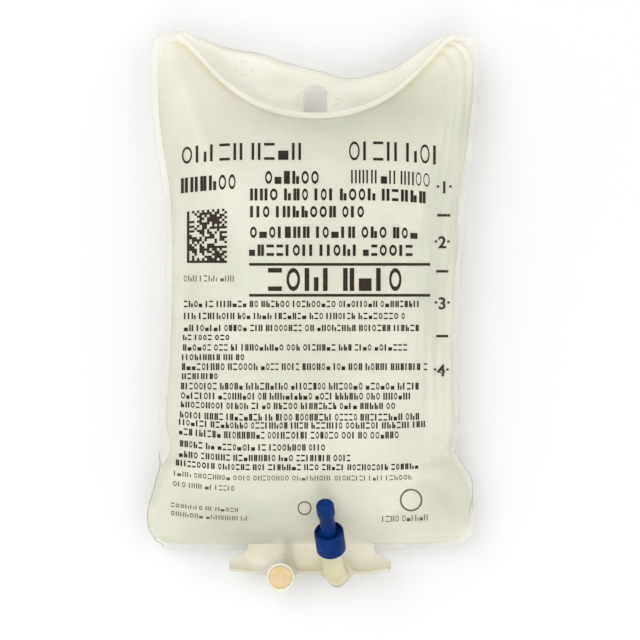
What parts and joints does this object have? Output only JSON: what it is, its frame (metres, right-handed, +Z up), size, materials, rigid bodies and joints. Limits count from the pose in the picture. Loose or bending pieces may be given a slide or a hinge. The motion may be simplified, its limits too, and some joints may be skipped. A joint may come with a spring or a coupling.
{
  "type": "iv fluid bag",
  "caption": "Filled flexible infusion bag lying flat, with welded film edges, a hanger flap, a reseal injection port and an outlet port under a pull-off protector.",
  "frame": {"origin": "centre of the flat patch of the back film that the filled bag rests on", "axes": "+Y along the bag to the hanger end, +X to the right of the printed side, +Z up out of the printed side"},
  "size_m": [0.1298, 0.2125, 0.0453],
  "materials": {
    "pvc_film": "clear flexible film with a faint yellow-green cast, soft gloss",
    "saline": "clear colourless fluid",
    "pvc_tube": "cream translucent flexible tube",
    "translucent_pvc": "pale translucent moulding",
    "reseal_rubber": "matt tan rubber",
    "blue_plastic": "dark blue moulded plastic, satin"
  },
  "bodies": {
    "bag": {"front_film": "pvc_film", "back_film": "pvc_film", "saline_fill": "saline", "injection_port_tube": "pvc_tube", "injection_membrane_tube": "translucent_pvc", "injection_sleeve": "translucent_pvc", "reseal_plug": "reseal_rubber", "outlet_port_tube": "pvc_tube", "outlet_membrane_tube": "translucent_pvc"},
    "protector": {"port_protector": "blue_plastic"}
  },
  "joints": [
    {"name": "protector_pull", "type": "slide", "parent": "bag", "child": "protector", "axis": [-0.1061, 0.766, 0.634], "range_m": [0, 0.03]}
  ]
}
